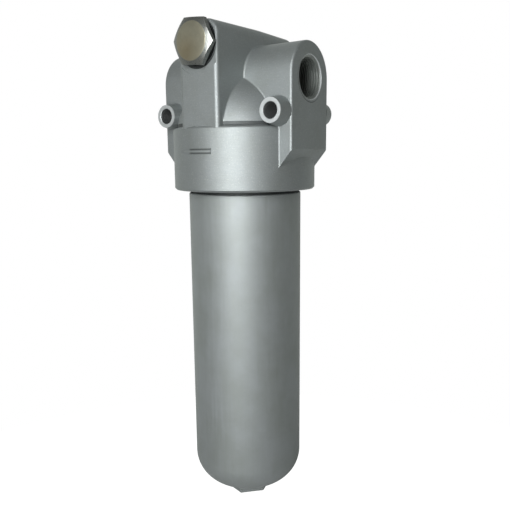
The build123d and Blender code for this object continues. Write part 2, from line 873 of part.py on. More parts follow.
# Plug of the indicator port: hexagon head with its outer corners turned off, and a threaded shank
plug_section = Plane(
    origin=(0, axis_y, foot_z + plug_height), x_dir=(0, -1, 0), z_dir=(1, 0, 0)
)
head_seat_reach = plug_seat_reach + washer_thickness
head_face_reach = head_seat_reach + plug_head_height
corner_radius = plug_across_flats / sqrt(3)
face_circle_radius = plug_across_flats / 2 * plug_face_share
corner_fall = (corner_radius - face_circle_radius) * sin(radians(plug_head_chamfer))

with BuildPart() as indicator_plug:
    with BuildSketch(facing_front(head_seat_reach, plug_height)):
        RegularPolygon(plug_across_flats / 2, 6, major_radius=False, rotation=plug_turn)
    extrude(amount=plug_head_height)
    with BuildSketch(plug_section):
        with BuildLine():
            Polyline(
                (head_seat_reach, 0),
                (head_face_reach, 0),
                (head_face_reach, face_circle_radius),
                (head_face_reach - corner_fall, corner_radius),
                (head_seat_reach, corner_radius),
                (head_seat_reach, 0),
            )
        make_face()
    revolve(axis=plug_axis, mode=Mode.INTERSECT)
    with BuildSketch(facing_front(head_seat_reach, plug_height)):
        Circle(plug_thread_radius)
    extrude(amount=-plug_shank_length)
    chamfer(indicator_plug.faces().sort_by(Axis.Y)[-1].edges(), plug_shank_chamfer)
save(indicator_plug, "indicator_plug")


def plug_ring(name, inner_radius, outer_radius, relief):
    """Flat ring round the plug's shank, under its head."""
    with BuildPart() as ring:
        with BuildSketch(facing_front(plug_seat_reach + relief, plug_height)):
            Circle(outer_radius)
            Circle(inner_radius, mode=Mode.SUBTRACT)
        extrude(amount=washer_thickness - 2 * relief)
    save(ring, name)
    return ring


plug_washer = plug_ring("plug_washer", washer_inner_radius, washer_outer_radius, 0)
plug_seal_lip = plug_ring("plug_seal_lip", lip_inner_radius, washer_inner_radius, lip_relief)
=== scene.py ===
import bmesh
import bpy
import json
import numpy as np
from bpy.props import FloatProperty, FloatVectorProperty, PointerProperty
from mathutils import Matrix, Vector


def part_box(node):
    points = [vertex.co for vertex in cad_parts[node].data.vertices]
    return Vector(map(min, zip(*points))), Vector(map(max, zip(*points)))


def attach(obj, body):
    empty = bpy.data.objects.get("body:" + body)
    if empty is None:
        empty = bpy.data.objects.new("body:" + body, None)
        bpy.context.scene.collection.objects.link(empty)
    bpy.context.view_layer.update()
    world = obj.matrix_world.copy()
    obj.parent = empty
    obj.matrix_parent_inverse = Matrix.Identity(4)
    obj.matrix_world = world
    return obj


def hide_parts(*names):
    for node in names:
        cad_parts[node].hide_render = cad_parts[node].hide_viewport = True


bl_info = {
    "name": "Hydraulic Pressure Filter",
    "version": (1, 0, 0),
    "blender": (4, 5, 0),
    "location": "3D View > Sidebar > Filter",
    "description": "Threads, finishes and a studio for a high-pressure line filter",
    "category": "Object",
}

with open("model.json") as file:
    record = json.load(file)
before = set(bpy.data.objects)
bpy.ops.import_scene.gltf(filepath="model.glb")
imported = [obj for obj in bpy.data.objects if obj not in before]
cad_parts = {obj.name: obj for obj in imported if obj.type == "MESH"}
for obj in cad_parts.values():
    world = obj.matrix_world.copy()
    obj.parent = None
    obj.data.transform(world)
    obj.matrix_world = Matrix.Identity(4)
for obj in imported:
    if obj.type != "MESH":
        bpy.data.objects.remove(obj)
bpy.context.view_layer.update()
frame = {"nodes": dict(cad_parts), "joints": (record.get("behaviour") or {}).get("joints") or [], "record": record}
nodes = frame["nodes"]
joints = {joint["name"]: joint for joint in frame["joints"]}
mounts = {mount["name"]: mount for mount in frame["record"]["mounts"]}

# Places read from the frame, in metres. Heights below are measured from the head's lower edge,
# and reaches from the bowl's upright axis towards the front.
head_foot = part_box("filter_head")[0].z
bowl_axis = Vector((joints["bowl_turn"]["pos_m"][0], joints["bowl_turn"]["pos_m"][1], head_foot))
plug_axis = Vector(joints["plug_turn"]["pos_m"])
plug_centre = (bowl_axis.x, bowl_axis.y, plug_axis.z)
port_axis = Vector((bowl_axis.x, bowl_axis.y, mounts["inlet_port"]["pos_m"][2]))
port_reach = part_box("filter_head")[1].x
port_thread_radius = mounts["inlet_port"]["dims"]["r_mm"] / 1000
boss_thread_radius = mounts["front_bosses"]["dims"]["hole_r_mm"] / 1000
boss_spacing = mounts["front_bosses"]["dims"]["spacing_x_mm"] / 1000
bowl_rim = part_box("filter_bowl")[1].z - head_foot
bowl_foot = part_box("filter_bowl")[0].z - head_foot
bowl_radius = (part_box("filter_bowl")[1].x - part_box("filter_bowl")[0].x) / 2
plug_seat = bowl_axis.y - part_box("plug_washer")[0].y
plug_face = bowl_axis.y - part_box("indicator_plug")[0].y
plug_tip = bowl_axis.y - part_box("indicator_plug")[1].y
spot_face = bowl_axis.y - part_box("plug_washer")[1].y

# Ways that bores and pieces face on the object
RIGHT, LEFT, BACK, FRONT, UP = (1, 0, 0), (-1, 0, 0), (0, 1, 0), (0, -1, 0), (0, 0, 1)

# Parts of a thread's pitch, from a crest's middle, at which its flank leaves the crest and meets the root
OUTER_THREAD, PLAIN_BORE_THREAD = (0.07, 0.42), (0.1, 0.45)
PORT_THREAD, BOSS_THREAD = (0.09, 0.40), (0.1, 0.44)

# Radii of the zones that a tool has cut on the head, each a little wider than its thread or face,
# how deep those of ports and bosses go, and how far a zone reaches past the face that it ends on
SKIRT_ZONE, PORT_ZONE, PORT_MOUTH_ZONE, PLUG_ZONE = 0.0392, 0.0133, 0.0142, 0.0101
BOSS_ZONE, BOSS_TIP_ZONE = 0.00505, 0.008
SKIRT_ZONE_END, BOSS_ZONE_DEPTH, PORT_MOUTH_DEPTH, BOSS_TIP_DEPTH = 0.0512, 0.02, 0.001, 0.0005
ZONE_SKIN = 0.0001

# What a finish's name ends with, after the name of the material slot that it belongs to
FINISH = "_finish"


def number_in(unit):
    """Maker of number properties in one unit."""

    def number(name, description, default):
        return FloatProperty(name=name, description=description, default=default, unit=unit, precision=5)

    return number


# Metres, radians, watts, millimetres of a lens, and numbers without a unit
length, angle, power = number_in("LENGTH"), number_in("ROTATION"), number_in("POWER")
focal_length, share = number_in("CAMERA"), number_in("NONE")


def location(name, description, default):
    """A place in the frame, in metres."""
    return FloatVectorProperty(
        name=name, description=description, default=default, subtype="TRANSLATION", unit="LENGTH", size=3
    )


def colour(name, description, default):
    """A colour in linear red, green and blue."""
    return FloatVectorProperty(
        name=name, description=description, default=default, subtype="COLOR", size=3, min=0, max=1
    )


class FilterBowlSizes(bpy.types.PropertyGroup):
    """Sizes of the bowl"""

    wall: length("Wall", "Thickness of the bowl's wall", 0.007)
    straight_end: length("Straight end", "Height at which the straight wall ends", -0.193)
    knuckle: length("Knuckle radius", "Rounding between wall and bottom", 0.0213)
    crown: length("Crown radius", "Radius of the dished bottom", 0.07)
    shoulder_height: length("Shoulder", "Height of the shoulder under the head", -0.0022)
    shoulder_round: length("Shoulder round", "Rounding of the shoulder's edge", 0.001)
    neck_radius: length("Neck radius", "Relief below the thread", 0.0363)
    thread_radius: length("Thread radius", "Outer radius of the bowl's thread", 0.03735)
    thread_pitch: length("Thread pitch", "Rise of the bowl's thread in one turn", 0.002)
    thread_depth: length("Thread depth", "Depth of the bowl's thread", 0.00105)
    thread_start: length("Thread start", "Height at which the thread begins", 0.002)
    thread_end: length("Thread end", "Height at which the thread ends", 0.02)
    land_radius: length("Land radius", "Radius of the land that carries the seal", 0.036)
    land_start: length("Land start", "Height at which the land begins", 0.0215)
    groove_radius: length("Groove radius", "Radius of the seal groove's floor", 0.0334)
    groove_start: length("Groove start", "Height of the groove's lower side", 0.0257)
    groove_end: length("Groove end", "Height of the groove's upper side", 0.0313)
    rim_chamfer: length("Rim chamfer", "Chamfer of the rim's outer edge", 0.0005)
    rim_lead: length("Rim lead-in", "Chamfer of the rim's inner edge", 0.0015)
    foot_flats: length("Foot across flats", "Width of the foot's hexagon", 0.030)
    foot_height: length("Foot height", "Height of the foot's hexagon", 0.0052)
    foot_chamfer: length("Foot chamfer", "Chamfer of the foot's lower edge", 0.0008)
    foot_turn: angle("Foot turn", "Angle of the foot's first corner", np.radians(-14.0))
    foot_corner: share("Foot corner", "Part of the corner's reach that is left after blunting", 0.995)


class FilterPlugSizes(bpy.types.PropertyGroup):
    """Sizes of the plug"""

    flats: length("Across flats", "Width of the plug's hexagon", 0.027)
    turn: angle("Turn", "Angle of the hexagon's first corner", np.radians(-5.3))
    face_share: share("Face share", "Radius of the turned face in parts of the flats' half", 0.83)
    face_edge: length("Face edge", "Half the width of the face's blunt edge", 0.0002)
    chamfer: angle("Chamfer", "Slope of the turned corners", np.radians(25.0))
    rim: length("Rim", "Chamfer of the hexagon's rear edge", 0.0003)
    thread_radius: length("Thread radius", "Outer radius of the plug's thread", 0.0095)
    thread_pitch: length("Thread pitch", "Rise of the plug's thread in one turn", 0.0015)
    thread_depth: length("Thread depth", "Depth of the plug's thread", 0.00085)
    tip_chamfer: length("Tip chamfer", "Chamfer at the end of the shank", 0.0012)
    relief: length("Relief", "Length of the plain neck under the head", 0.0032)
    run_out: length("Run-out", "Length in which the thread runs out into the neck", 0.0005)


class FilterThreadSizes(bpy.types.PropertyGroup):
    """Sizes of the threads in the head"""

    clearance: length("Clearance", "Space between turning threads", 0.00005)
    cover: length("Cover", "How far a thread's floor stands off the bored wall", 0.00002)
    back: length("Back", "How far a thread's hidden skin lies behind its floor", 0.0003)
    port_pitch: length("Port pitch", "Rise of the port thread in one turn", 0.001814)
    port_depth: length("Port depth", "Depth of the port thread", 0.00116)
    port_length: length("Port length", "Length of the port thread", 0.0165)
    port_mouth: length("Port mouth", "Depth of the port's countersink", 0.00078)
    boss_pitch: length("Boss pitch", "Rise of the mounting thread in one turn", 0.0015)
    boss_depth: length("Boss depth", "Depth of the mounting thread", 0.00075)
    boss_length: length("Boss length", "Length of the mounting thread", 0.0145)
    boss_mouth: length("Boss mouth", "Depth of the mounting hole's countersink", 0.0004)
    skirt_start: length("Skirt start", "Height at which the head's thread begins", 0.0016)
    skirt_end: length("Skirt end", "Height at which the head's thread ends", 0.0214)
    plug_depth: length("Plug port depth", "Reach at which the plug port's thread ends", 0.0325)
    plug_mouth: length("Plug port mouth", "Depth of the plug port's countersink", 0.0005)


class FilterMarkSizes(bpy.types.PropertyGroup):
    """Sizes of the flow arrow and port recesses, and of the painted shade round the neck and shadow under the
    plug, which are colour and bump
    """

    arrow_height: length("Arrow height", "Height of the flow arrow on the skirt", 0.0253)
    arrow_width: length("Arrow width", "Distance between the arrow's dark lines", 0.0023)
    arrow_tip: length("Arrow tip", "Place of the arrow's tip across the head", -0.0175)
    arrow_point: length("Arrow point", "Length of the arrow's point", 0.006)
    arrow_tail: length("Arrow tail", "Place of the arrow's tail across the head", 0.0095)
    arrow_fade: length("Arrow fade", "Place where the arrow's lines fade out", -0.0066)
    arrow_front: length("Arrow front", "Place behind which no arrow is drawn", -0.012)
    edge: length("Edge", "Width of the arrow's dark lines", 0.0014)
    recess_radius: length("Recess", "Radius of the shallow recess round each port", 0.0151)
    # These three sizes place painted shade in the corner between skirt and roof.
    seam_radius: length("Seam radius", "Radius within which the neck's seam is dark", 0.0460)
    seam_start: length("Seam start", "Height at which the neck's seam begins", 0.0407)
    seam_end: length("Seam end", "Height at which the neck's seam ends", 0.0432)
    # These two sizes place a painted shadow ring under the plug.
    stain_radius: length("Stain radius", "Radius of the oily ring under the plug", 0.0149)
    stain_drop: length("Stain drop", "How far the oily ring has run down", 0.0006)


class FilterColours(bpy.types.PropertyGroup):
    """Colours of the finishes"""

    cast: colour("Cast head", "Grey of the cast head", (0.335, 0.363, 0.372))
    cast_shade: colour("Cast head, shade", "Darker patches of the casting", (0.295, 0.32, 0.312))
    speck: colour("Speck", "Bright specks in the cast skin", (0.75, 0.77, 0.78))
    cut: colour("Cut metal", "Faces turned on the head", (0.60, 0.63, 0.635))
    # Near-black painted shade: used in bores and holes, round the neck, along the arrow, in the port recesses'
    # corners, under the plug and on the bowl's neck under the skirt.
    bore: colour("Bore", "Oily drillings, seams and stains", (0.018, 0.021, 0.021))
    thread: colour("Thread", "Threads cut in the head", (0.36, 0.385, 0.37))
    bowl: colour("Bowl", "Grey of the drawn bowl", (0.365, 0.392, 0.403))
    bowl_shade: colour("Bowl, shade", "Darker streaks of the bowl", (0.305, 0.332, 0.32))
    zinc: colour("Plug's face", "Olive plating of the plug's face", (0.54, 0.52, 0.40))
    zinc_side: colour("Plug's sides", "Grey plating of the plug's flats", (0.25, 0.26, 0.25))
    zinc_chamfer: colour("Plug's chamfer", "Plating of the turned corners", (0.28, 0.29, 0.275))
    zinc_stain: colour("Plug, stain", "Brownish patch in the plating", (0.45, 0.38, 0.24))
    steel: colour("Inner steel", "Turned steel inside the head", (0.62, 0.62, 0.60))
    spring: colour("Spring steel", "Drawn wire and clip", (0.45, 0.45, 0.44))
    tin: colour("Tin plate", "Sheet of the element", (0.70, 0.70, 0.68))
    media: colour("Filter sheet", "Pleated sheet", (0.86, 0.84, 0.76))
    rubber: colour("Rubber", "Seal rings", (0.03, 0.03, 0.03))
    plastic: colour("Plastic", "Backup ring", (0.85, 0.83, 0.78))


class FilterStudio(bpy.types.PropertyGroup):
    """Camera, floor and lights"""

    camera_place: location("Camera", "Where the camera stands", (0.23662, -0.28664, -0.02513))
    camera_turn: FloatVectorProperty(
        name="Camera turn", description="The camera's rotation", default=(1.393113, 0.009962, 0.621293),
        subtype="EULER", unit="ROTATION", size=3,
    )
    camera_lens: focal_length("Lens", "Focal length on a 36 mm sensor", 40.04)
    floor_drop: length("Floor drop", "How far the floor lies below the bowl's foot", 0.33)
    floor_radius: length("Floor radius", "Radius of the round floor", 0.9)
    aim_drop: length("Aim drop", "How far below the head's lower edge the lights aim", 0.03)
    key_place: location("Key light", "Where the key light stands", (0.168, -0.457, 0.025))
    key_width: length("Key width", "Width of the key light", 0.18)
    key_height: length("Key height", "Height of the key light", 0.46)
    key_power: power("Key power", "Power of the key light", 3.6)
    fill_place: location("Fill light", "Where the fill light stands", (-0.9, 0.9, 0.5))
    fill_side: length("Fill side", "Side of the square fill light", 0.8)
    fill_power: power("Fill power", "Power of the fill light", 0.6)
    sky: share("Sky", "Strength of the even light from all round", 0.22)


def grid_object(name, points, sharp_angle, body, slot, finish=None):
    """Mesh on a grid of points, one face between each four neighbours, added to a body.

    Points that coincide, at poles and where the grid closes on itself, are merged. The finish is
    the slot's own unless another is named.
    """
    rows, columns = points.shape[:2]
    index = np.arange(rows * columns).reshape(rows, columns)
    faces = np.stack(
        [index[:-1, :-1], index[:-1, 1:], index[1:, 1:], index[1:, :-1]], axis=-1
    ).reshape(-1, 4)
    mesh = bpy.data.meshes.new(name)
    mesh.from_pydata(points.reshape(-1, 3).tolist(), [], faces.tolist())
    work = bmesh.new()
    work.from_mesh(mesh)
    bmesh.ops.remove_doubles(work, verts=work.verts, dist=2e-6)
    bmesh.ops.recalc_face_normals(work, faces=work.faces)
    work.to_mesh(mesh)
    work.free()
    mesh.shade_smooth()
    mesh.set_sharp_from_angle(angle=np.radians(sharp_angle))
    mesh.materials.append(finishes()[finish or slot])
    made = bpy.data.objects.new(name, mesh)
    bpy.context.scene.collection.objects.link(made)
    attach(made, body)
    return made


def carried_round(centre, out, first, turns, radii, heights):
    """Grid of a profile carried round an axis.

    Point = centre + out x height + (first x cosine of the turn + second x sine of the turn) x radius,
    where second is square to out and first. Radii and heights have a row for each point of the
    profile and a column for each turn.
    """
    out, first = np.array(out, float), np.array(first, float)
    second = np.cross(out, first)
    around = np.cos(turns)[None, :, None] * first + np.sin(turns)[None, :, None] * second
    return np.array(centre) + radii[:, :, None] * around + heights[:, :, None] * out


def rows_of(points, columns):
    """Radii and heights of a profile, repeated round the axis. A value may also be given for each turn."""
    rows = np.array([[np.broadcast_to(value, columns) for value in point] for point in points], float)
    return rows[:, 0], rows[:, 1]


def joined(*profiles):
    """Profiles one after the other: their radii and their heights."""
    return [np.concatenate(rows) for rows in zip(*profiles)]


def full_turn(columns):
    """Angles of one full turn, the last the same place as the first."""
    return np.linspace(0, 2 * np.pi, columns + 1)


def arc(centre, radius, start, end, steps):
    """Points of a circle from one angle to another, in degrees."""
    angles = np.radians(np.linspace(start, end, steps))
    return np.stack([centre[0] + radius * np.cos(angles), centre[1] + radius * np.sin(angles)], axis=1)


def upright(radius, start, end, steps):
    """Points of a straight wall between two heights, without the first."""
    return np.stack([np.full(steps, radius), np.linspace(start, end, steps + 1)[1:]], axis=1)


def thread_rows(start, end, turns, pitch, flank):
    """Heights of grid rows that climb with a thread, so that its edges lie on the rows.

    Row height = pitch x (turn number + place in the pitch + part of the turn), kept between both ends.
    """
    crest, root = flank
    middle = (crest + root) / 2
    places = np.array([-crest, 0, crest, middle, root, 0.5, 1 - root, 1 - middle])
    numbers = np.arange(np.floor(start / pitch) - 2, np.ceil(end / pitch) + 1)
    steps = (numbers[:, None] + places[None, :]).ravel()
    heights = (steps[:, None] + turns[None, :] / (2 * np.pi)) * pitch
    return np.clip(heights, start, end)


def thread_share(heights, turns, pitch, flank):
    """Part of a thread's depth, 0 on its crest and 1 in its root.

    The crest climbs one pitch in each turn. The distance to the nearest crest, in parts of the pitch,
    is stretched so that it is 0 where the flank leaves the crest and 1 where it meets the root.
    """
    crest, root = flank
    phase = (heights / pitch - turns / (2 * np.pi)) % 1
    from_crest = np.minimum(phase, 1 - phase)
    return np.clip((from_crest - crest) / (root - crest), 0, 1)


def outer_thread(sizes, start, end, turns):
    """Profile of a thread cut on a shank: radius = thread radius - depth x thread share."""
    heights = thread_rows(start, end, turns, sizes.thread_pitch, OUTER_THREAD)
    depth = thread_share(heights, turns, sizes.thread_pitch, OUTER_THREAD)
    return sizes.thread_radius - sizes.thread_depth * depth, heights


def hexagon_radius(turns, flats, first_corner):
    """Radius of a hexagon: half its flats over the cosine of the angle from the nearest flat's middle."""
    from_flat = (turns - first_corner) % (np.pi / 3) - np.pi / 6
    return flats / 2 / np.cos(from_flat)


def hexagon_turns(first_corner, steps):
    """Angles of one full turn that include the six corners and a close neighbour on each side."""
    side = np.linspace(0, np.pi / 3, steps, endpoint=False)
    side = np.concatenate([side, np.radians([0.6, 59.4])])
    corners = first_corner + np.arange(6) * np.pi / 3
    turns = np.sort((corners[:, None] + side[None, :]).ravel())
    return np.append(turns, turns[0] + 2 * np.pi)


def add_node(tree, kind, inputs=None, **settings):
    """Shader node with its settings and inputs. An input given as a socket is linked."""
    made = tree.nodes.new(kind)
    for key, value in settings.items():
        setattr(made, key, value)
    for key, value in (inputs or {}).items():
        if isinstance(value, bpy.types.NodeSocket):
            tree.links.new(value, made.inputs[key])
        else:
            made.inputs[key].default_value = value
    return made


def maths(tree, operation, *values):
    """Result of a Math node."""
    return add_node(tree, "ShaderNodeMath", dict(enumerate(values)), operation=operation).outputs[0]


def product(tree, *values):
    """Two or more values multiplied."""
    result = values[0]
    for value in values[1:]:
        result = maths(tree, "MULTIPLY", result, value)
    return result


def largest(tree, *values):
    """The largest of two or more values."""
    result = values[0]
    for value in values[1:]:
        result = maths(tree, "MAXIMUM", result, value)
    return result


def vector_maths(tree, operation, *values):
    """Result of a Vector Math node: a number for a dot product or a length, otherwise a vector."""
    made = add_node(tree, "ShaderNodeVectorMath", dict(enumerate(values)), operation=operation)
    return made.outputs["Value" if operation in ("DOT_PRODUCT", "LENGTH") else "Vector"]


def scaled(tree, vector, factor):
    """A vector times a number."""
    made = add_node(tree, "ShaderNodeVectorMath", {0: vector, "Scale": factor}, operation="SCALE")
    return made.outputs["Vector"]


def parts_of(tree, vector):
    """X, Y and Z of a vector, by these names."""
    return add_node(tree, "ShaderNodeSeparateXYZ", {0: vector}).outputs


def off_axis(tree, place, axis, kept):
    """How far a place lies off an axis, in the directions that are kept."""
    return vector_maths(tree, "MULTIPLY", vector_maths(tree, "SUBTRACT", place, axis), kept)


def stretched(tree, value, low, high, new_low=0.0, new_high=1.0):
    """A value moved from one range to another and kept within it."""
    inputs = {0: value, 1: low, 2: high, 3: new_low, 4: new_high}
    return add_node(tree, "ShaderNodeMapRange", inputs).outputs[0]


def noise(tree, vector, scale, detail=2.0, roughness=0.5):
    """Cloudy value round 0.5, at a scale in features a metre."""
    inputs = {"Vector": vector, "Scale": scale, "Detail": detail, "Roughness": roughness}
    return add_node(tree, "ShaderNodeTexNoise", inputs).outputs["Fac"]


def streaked(tree, place, stretch, scale):
    """Fine streaks from 0 to 1: noise drawn out along the axes whose stretch is small."""
    drawn = vector_maths(tree, "MULTIPLY", place, stretch)
    return stretched(tree, noise(tree, drawn, scale, 3.0, 0.6), 0.3, 0.7)


def mixed(tree, factor, first, second):
    """Two colours mixed by a value."""
    made = add_node(tree, "ShaderNodeMix", data_type="RGBA")
    for key, value in (("Factor_Float", factor), ("A_Color", first), ("B_Color", second)):
        socket = next(s for s in made.inputs if s.identifier == key)
        if isinstance(value, bpy.types.NodeSocket):
            tree.links.new(value, socket)
        else:
            socket.default_value = (*value, 1) if key != "Factor_Float" else value
    return next(s for s in made.outputs if s.identifier == "Result_Color")


def mixed_value(tree, factor, first, second):
    """Two values mixed by a third."""
    difference = maths(tree, "SUBTRACT", second, first)
    return maths(tree, "ADD", first, product(tree, factor, difference))


def new_group(name, inputs, outputs):
    """Node group with named vectors and numbers going in and numbers coming out, and its end nodes."""
    tree = bpy.data.node_groups.new(name, "ShaderNodeTree")
    for label, default in inputs.items():
        kind = "NodeSocketVector" if isinstance(default, tuple) else "NodeSocketFloat"
        socket = tree.interface.new_socket(name=label, in_out="INPUT", socket_type=kind)
        socket.default_value = default
    for label in outputs:
        tree.interface.new_socket(name=label, in_out="OUTPUT", socket_type="NodeSocketFloat")
    return tree, tree.nodes.new("NodeGroupInput").outputs, tree.nodes.new("NodeGroupOutput").inputs


def grain_group():
    """Grain: height, patches and specks from noise in parts of one size, and clouds of a fixed size."""
    tree, given, result = new_group(
        "Grain", {"Position": (0, 0, 0), "Size": 0.001}, ["Height", "Patches", "Specks", "Clouds"]
    )
    place = vector_maths(tree, "DIVIDE", given["Position"], given["Size"])
    tree.links.new(noise(tree, place, 1.0, 3.0, 0.6), result["Height"])
    patches = noise(tree, place, 0.11, 3.0, 0.55)
    tree.links.new(stretched(tree, patches, 0.35, 0.65), result["Patches"])
    specks = noise(tree, place, 0.8, 1.0, 0.5)
    tree.links.new(stretched(tree, specks, 0.6, 0.74), result["Specks"])
    clouds = noise(tree, given["Position"], 45.0, 4.0, 0.6)
    tree.links.new(stretched(tree, clouds, 0.36, 0.64), result["Clouds"])
    return tree


def marks_group():
    """Machine marks: height = sine of the distance over the spacing, shifted a little by noise."""
    tree, given, result = new_group(
        "Machine marks", {"Position": (0, 0, 0), "Distance": 0.0, "Spacing": 0.0003}, ["Height"]
    )
    waver = product(tree, noise(tree, given["Position"], 400.0), 2.5)
    steps = product(tree, maths(tree, "DIVIDE", given["Distance"], given["Spacing"]), 2 * np.pi)
    wave = maths(tree, "SINE", maths(tree, "ADD", steps, waver))
    tree.links.new(maths(tree, "MULTIPLY_ADD", wave, 0.5, 0.5), result["Height"])
    return tree


def zone_group():
    """Round zone: a mask inside a radius of an axis and between two distances along it.

    Along = the place's part along the direction, distance = the length of what is left of it.
    """
    inputs = {
        "Position": (0, 0, 0), "Centre": (0, 0, 0), "Direction": (0, 0, 1),
        "Radius": 0.01, "From": 0.0, "To": 0.01,
    }
    tree, given, result = new_group("Round zone", inputs, ["Mask", "Distance"])
    place = vector_maths(tree, "SUBTRACT", given["Position"], given["Centre"])
    along = vector_maths(tree, "DOT_PRODUCT", place, given["Direction"])
    beside = vector_maths(tree, "SUBTRACT", place, scaled(tree, given["Direction"], along))
    distance = vector_maths(tree, "LENGTH", beside)
    near = maths(tree, "LESS_THAN", distance, given["Radius"])
    above = maths(tree, "GREATER_THAN", along, given["From"])
    below = maths(tree, "LESS_THAN", along, given["To"])
    tree.links.new(product(tree, near, above, below), result["Mask"])
    tree.links.new(distance, result["Distance"])
    return tree


def use_group(tree, name, make, inputs):
    """Outputs of a shared node group placed in a material. The group is made when it is first used."""
    group = bpy.data.node_groups.get(name) or make()
    return add_node(tree, "ShaderNodeGroup", inputs, node_tree=group).outputs


def grain_of(tree, place, size):
    """Grain in parts of one size."""
    return use_group(tree, "Grain", grain_group, {"Position": place, "Size": size})


def marks_of(tree, place, distance, spacing):
    """Height of machine marks at a distance from an axis."""
    inputs = {"Position": place, "Distance": distance, "Spacing": spacing}
    return use_group(tree, "Machine marks", marks_group, inputs)["Height"]


def zone_of(tree, place, centre, direction, radius, start, end):
    """Round zone about an axis."""
    inputs = {
        "Position": place, "Centre": centre, "Direction": direction,
        "Radius": radius, "From": start, "To": end,
    }
    return use_group(tree, "Round zone", zone_group, inputs)


def new_finish(name):
    """Empty material."""
    finish = bpy.data.materials.new(name + FINISH)
    finish.use_nodes = True
    finish.node_tree.nodes.clear()
    return finish


def place_on_object(tree):
    """Place of the shaded point on the object."""
    return add_node(tree, "ShaderNodeTexCoord").outputs["Object"]


def surface_direction(tree):
    """Direction in which the surface faces, on the object."""
    return add_node(tree, "ShaderNodeTexCoord").outputs["Normal"]


def close_finish(tree, base, roughness, height, bump, depth, metallic):
    """Principled surface with colour, roughness, bump and metal, joined to the output."""
    relief = add_node(tree, "ShaderNodeBump", {"Height": height, "Strength": bump, "Distance": depth})
    inputs = {"Base Color": base, "Roughness": roughness, "Metallic": metallic, "Normal": relief.outputs[0]}
    surface = add_node(tree, "ShaderNodeBsdfPrincipled", inputs)
    output = add_node(tree, "ShaderNodeOutputMaterial")
    tree.links.new(surface.outputs[0], output.inputs["Surface"])


def head_zones(tree, place):
    """What a tool has cut on the head: masks of all of it and of its deep bores, and the tool's rings."""
    zones = [
        (bowl_axis, UP, SKIRT_ZONE, -0.001, SKIRT_ZONE_END, True),
        (plug_centre, FRONT, PLUG_ZONE, 0.0, spot_face + ZONE_SKIN, True),
    ]
    for way in (RIGHT, LEFT):
        tip = (way[0] * boss_spacing / 2, 0, 0)
        mouth = port_reach - PORT_MOUTH_DEPTH
        zones += [
            (port_axis, way, PORT_ZONE, 0.0, port_reach + ZONE_SKIN, True),
            (port_axis, way, PORT_MOUTH_ZONE, mouth, port_reach - ZONE_SKIN, False),
            (tip, FRONT, BOSS_ZONE, -BOSS_ZONE_DEPTH, 0.001, True),
            (tip, FRONT, BOSS_TIP_ZONE, -BOSS_TIP_DEPTH, 0.001, False),
        ]
    machined, deep, marks = 0.0, 0.0, 0.0
    for centre, direction, radius, start, end, is_deep in zones:
        zone = zone_of(tree, place, centre, direction, radius, start, end)
        ring = marks_of(tree, place, zone["Distance"], 0.0004)
        machined = largest(tree, machined, zone["Mask"])
        marks = largest(tree, marks, product(tree, zone["Mask"], ring))
        if is_deep:
            deep = largest(tree, deep, zone["Mask"])
    return machined, deep, marks


def neck_painted_shade(tree, place):
    """Painted shade round the neck between skirt and roof, only on what faces outwards."""
    sizes = bpy.context.scene.filter_mark_sizes
    zone = zone_of(tree, place, bowl_axis, UP, sizes.seam_radius, sizes.seam_start, sizes.seam_end)
    outwards = vector_maths(tree, "NORMALIZE", off_axis(tree, place, bowl_axis, (1, 1, 0)))
    facing = vector_maths(tree, "DOT_PRODUCT", outwards, surface_direction(tree))
    # Painted shade: darkens the neck's corner, where shade falls, on outward faces only.
    return product(tree, zone["Mask"], maths(tree, "GREATER_THAN", facing, 0.8), 0.75)


def arrow_painted_shade(tree, parts):
    """Painted shade: dark lines along both edges of the cast arrow, faded towards its tip.

    Half the arrow's width grows from its tip over its point, and a line is dark near that edge.
    """
    sizes = bpy.context.scene.filter_mark_sizes
    point_end = sizes.arrow_tip + sizes.arrow_point
    half = stretched(tree, parts["X"], sizes.arrow_tip, point_end, 0.0, sizes.arrow_width / 2)
    rise = maths(tree, "SUBTRACT", parts["Z"], bowl_axis.z + sizes.arrow_height)
    off_edge = maths(tree, "ABSOLUTE", maths(tree, "SUBTRACT", maths(tree, "ABSOLUTE", rise), half))
    # Painted shade along the raised arrow's edges.
    arrow = stretched(tree, off_edge, sizes.edge / 4, sizes.edge / 2, 0.62, 0.0)
    fade = stretched(tree, parts["X"], sizes.arrow_fade - 0.0015, sizes.arrow_fade + 0.0005, 0.1, 1.0)
    behind_tip = maths(tree, "GREATER_THAN", parts["X"], sizes.arrow_tip)
    before_tail = maths(tree, "LESS_THAN", parts["X"], sizes.arrow_tail)
    at_front = maths(tree, "LESS_THAN", parts["Y"], sizes.arrow_front)
    return product(tree, arrow, fade, behind_tip, before_tail, at_front)


def port_recess(tree, place, parts):
    """Shallow recess round each port: painted shade in its corner, most at the lower front, and the face round it.
    """
    radius = bpy.context.scene.filter_mark_sizes.recess_radius
    from_port = off_axis(tree, place, port_axis, (0, 1, 1))
    distance = vector_maths(tree, "LENGTH", from_port)
    on_face = maths(tree, "GREATER_THAN", maths(tree, "ABSOLUTE", parts["X"]), port_reach - 0.0005)
    off_corner = maths(tree, "ABSOLUTE", maths(tree, "SUBTRACT", distance, radius))
    # Painted shade in the recess's corner, strongest at the lower front, where shade falls.
    corner = product(tree, on_face, stretched(tree, off_corner, 0.0001, 0.0004, 1.0, 0.0))
    way = vector_maths(tree, "NORMALIZE", from_port)
    low_front = vector_maths(tree, "DOT_PRODUCT", way, (0, -0.64, -0.77))
    corner = product(tree, corner, stretched(tree, low_front, 0.1, 0.8, 0.05, 0.7))
    step = stretched(tree, distance, radius - 0.0002, radius + 0.0003)
    return corner, product(tree, on_face, step)


